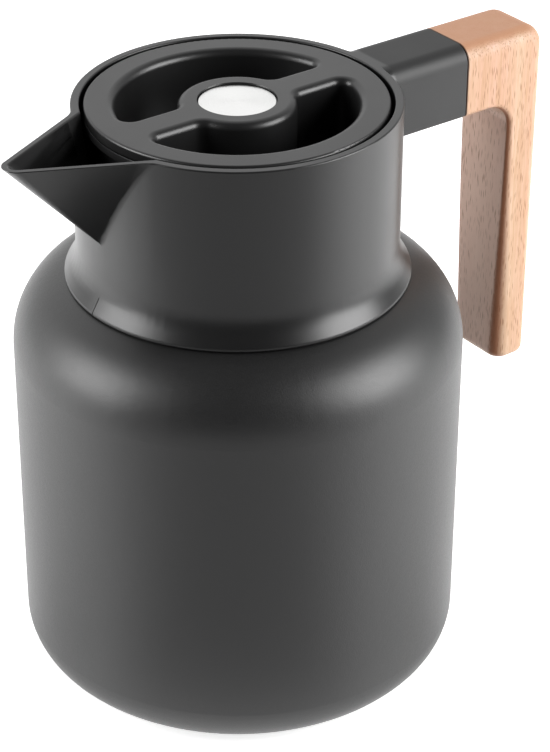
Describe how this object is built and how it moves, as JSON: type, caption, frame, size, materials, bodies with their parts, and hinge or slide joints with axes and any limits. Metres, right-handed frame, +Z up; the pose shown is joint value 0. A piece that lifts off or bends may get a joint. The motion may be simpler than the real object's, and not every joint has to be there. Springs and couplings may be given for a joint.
{
  "type": "vacuum jug",
  "caption": "Vacuum jug with a coated steel body, a black pouring collar with a V spout, a beech L-shaped handle and a turn-to-pour stopper that lifts out.",
  "frame": {"origin": "centre of the foot pad, on the surface that the jug stands on", "axes": "+Z up along the jug's axis, +X towards the handle, -X towards the spout"},
  "size_m": [0.1794, 0.13, 0.178],
  "materials": {
    "shell_coating": "matte charcoal powder coat with a fine grain",
    "flask_steel": "plain stainless steel",
    "getter_metal": "dull grey metal",
    "bead_metal": "solder bead",
    "base_plastic": "black plastic, fine texture",
    "foot_silicone": "dark silicone",
    "collar_plastic": "smooth satin black plastic",
    "neck_plastic": "black plastic",
    "seal_silicone": "translucent white silicone",
    "beech": "oiled light beech",
    "screw_steel": "bright zinc",
    "stopper_plastic": "satin black plastic",
    "drive_plastic": "white slippery plastic",
    "lid_plastic": "satin black plastic",
    "disc_steel": "circular brushed stainless steel",
    "foam": "white insulating foam"
  },
  "bodies": {
    "jug": {"outer_shell": "shell_coating", "inner_flask": "flask_steel", "base_pan": "flask_steel", "getter": "getter_metal", "seal_bead": "bead_metal", "base_cap": "base_plastic", "foot_pad": "foot_silicone", "collar": "collar_plastic", "neck_ring": "neck_plastic", "neck_gasket": "seal_silicone", "collar_gasket": "seal_silicone", "handle_grip": "beech", "handle_screws": "screw_steel"},
    "stopper": {"stopper_cup": "stopper_plastic", "stopper_tube": "stopper_plastic", "stem_guide": "drive_plastic", "stopper_gasket": "seal_silicone"},
    "grip": {"turn_grip": "lid_plastic", "lid_disc": "disc_steel", "grip_screw": "screw_steel", "drive_screw": "drive_plastic", "spindle_seal": "seal_silicone"},
    "valve": {"valve_stem": "drive_plastic", "valve_plug": "stopper_plastic", "valve_seal": "seal_silicone", "valve_foam": "foam", "valve_cap": "stopper_plastic", "valve_screw": "screw_steel"}
  },
  "joints": [
    {"name": "lid_lift", "type": "slide", "parent": "jug", "child": "stopper", "axis": [0, 0, 1], "range_m": [0, 0.085]},
    {"name": "grip_turn", "type": "hinge", "parent": "stopper", "child": "grip", "pos_m": [0, 0, 0.178], "axis": [0, 0, 1], "range_deg": [0, 90]},
    {"name": "valve_drop", "type": "slide", "parent": "stopper", "child": "valve", "axis": [0, 0, -1], "range_m": [0, 0.005]}
  ],
  "couplings": [
    {"joint": "valve_drop", "follows": "grip_turn", "m_per_rad": 0.003183}
  ]
}
